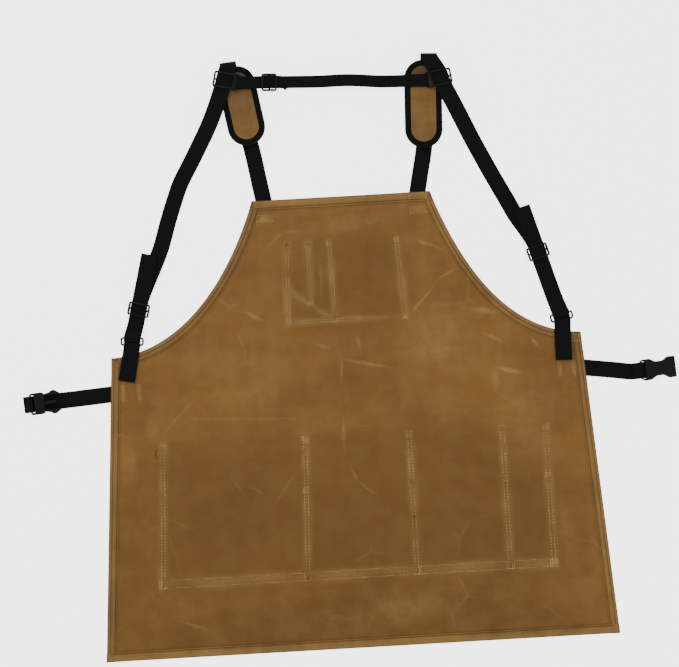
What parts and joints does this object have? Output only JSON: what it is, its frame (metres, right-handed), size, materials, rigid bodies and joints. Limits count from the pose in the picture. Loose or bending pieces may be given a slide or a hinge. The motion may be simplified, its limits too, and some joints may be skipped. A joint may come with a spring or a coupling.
{
  "type": "butcher apron",
  "caption": "Canvas bib apron laid flat, with pockets on its underside, a crossed webbing harness with padded shoulders, strap adjusters, side rings and a side-release waist buckle.",
  "frame": {"origin": "centre of the outer waist pocket's face, on which the apron rests", "axes": "+X across the apron, +Y from the hem to the bib, +Z from the pocket side to the side worn against the body"},
  "size_m": [0.9571, 0.8666, 0.0154],
  "materials": {
    "canvas": "waxed tan-brown canvas, mottled and scuffed",
    "pad_canvas": "waxed tan-brown canvas",
    "webbing": "woven black webbing",
    "binding": "woven black binding tape",
    "pad_lining": "black lining cloth",
    "foam": "closed-cell foam sheet, hidden inside the pads",
    "hardware": "moulded black plastic"
  },
  "bodies": {
    "apron": {"body_panel": "canvas", "armhole_facing_left": "canvas", "armhole_facing_right": "canvas", "chest_pocket": "canvas", "waist_pocket_back": "canvas", "waist_pocket_front": "canvas", "harness_webbing_left": "webbing", "harness_webbing_right": "webbing", "pad_backing_left": "pad_lining", "pad_backing_right": "pad_lining", "pad_foam_left": "foam", "pad_foam_right": "foam", "pad_cover_left": "pad_canvas", "pad_cover_right": "pad_canvas", "pad_binding_left": "binding", "pad_binding_right": "binding", "cross_strap_slider_left": "hardware", "cross_strap_slider_right": "hardware", "cross_strap": "webbing", "ring_loop_left": "webbing", "ring_loop_right": "webbing", "waist_strap_anchor_left": "webbing", "waist_strap_anchor_right": "webbing"},
    "left_adjuster": {"strap_adjuster_left": "hardware"},
    "right_adjuster": {"strap_adjuster_right": "hardware"},
    "cross_adjuster": {"cross_strap_adjuster": "hardware"},
    "left_ring": {"ring_left": "hardware"},
    "right_ring": {"ring_right": "hardware"},
    "left_waist_strap": {"waist_strap_left": "webbing"},
    "male_buckle": {"buckle_male": "hardware"},
    "upper_prong": {"buckle_prong_upper": "hardware"},
    "lower_prong": {"buckle_prong_lower": "hardware"},
    "right_waist_strap": {"waist_strap_right": "webbing"},
    "female_buckle": {"buckle_female": "hardware"}
  },
  "joints": [
    {"name": "left_adjuster_slide", "type": "slide", "parent": "apron", "child": "left_adjuster", "axis": [0.2521, 0.9677, 0], "range_m": [-0.01, 0.008]},
    {"name": "right_adjuster_slide", "type": "slide", "parent": "apron", "child": "right_adjuster", "axis": [-0.2857, 0.9583, 0], "range_m": [-0.06, 0.008]},
    {"name": "cross_adjuster_slide", "type": "slide", "parent": "apron", "child": "cross_adjuster", "axis": [0.999, -0.0444, 0], "range_m": [-0.005, 0.01]},
    {"name": "left_ring_hinge", "type": "hinge", "parent": "apron", "child": "left_ring", "pos_m": [-0.31195, 0.29501, 0.0078], "axis": [0.9976, -0.0698, 0], "range_deg": [-6, 6]},
    {"name": "right_ring_hinge", "type": "hinge", "parent": "apron", "child": "right_ring", "pos_m": [0.31737, 0.29558, 0.0078], "axis": [0.9848, 0.1736, 0], "range_deg": [-6, 6]},
    {"name": "left_waist_strap_fold", "type": "hinge", "parent": "apron", "child": "left_waist_strap", "pos_m": [-0.35023, 0.22423, 0.0035], "axis": [0.073, 0.9973, 0], "range_deg": [0, 150]},
    {"name": "right_waist_strap_fold", "type": "hinge", "parent": "apron", "child": "right_waist_strap", "pos_m": [0.3504, 0.22346, 0.0035], "axis": [0.073, -0.9973, 0], "range_deg": [0, 150]},
    {"name": "male_buckle_hinge", "type": "hinge", "parent": "left_waist_strap", "child": "male_buckle", "pos_m": [-0.465, 0.2165, 0.0047], "axis": [0.0698, -0.9976, 0], "range_deg": [0, 140]},
    {"name": "female_buckle_hinge", "type": "hinge", "parent": "right_waist_strap", "child": "female_buckle", "pos_m": [0.429, 0.215, 0.0042], "axis": [0.0698, -0.9976, 0], "range_deg": [0, 70]},
    {"name": "upper_prong_flex", "type": "hinge", "parent": "male_buckle", "child": "upper_prong", "pos_m": [-0.44555, 0.22939, 0.0047], "axis": [0, 0, -1], "range_deg": [0, 8], "stiffness_Nm_per_rad": 0.5},
    {"name": "lower_prong_flex", "type": "hinge", "parent": "male_buckle", "child": "lower_prong", "pos_m": [-0.44395, 0.20644, 0.0047], "axis": [0, 0, 1], "range_deg": [0, 8], "stiffness_Nm_per_rad": 0.5}
  ]
}
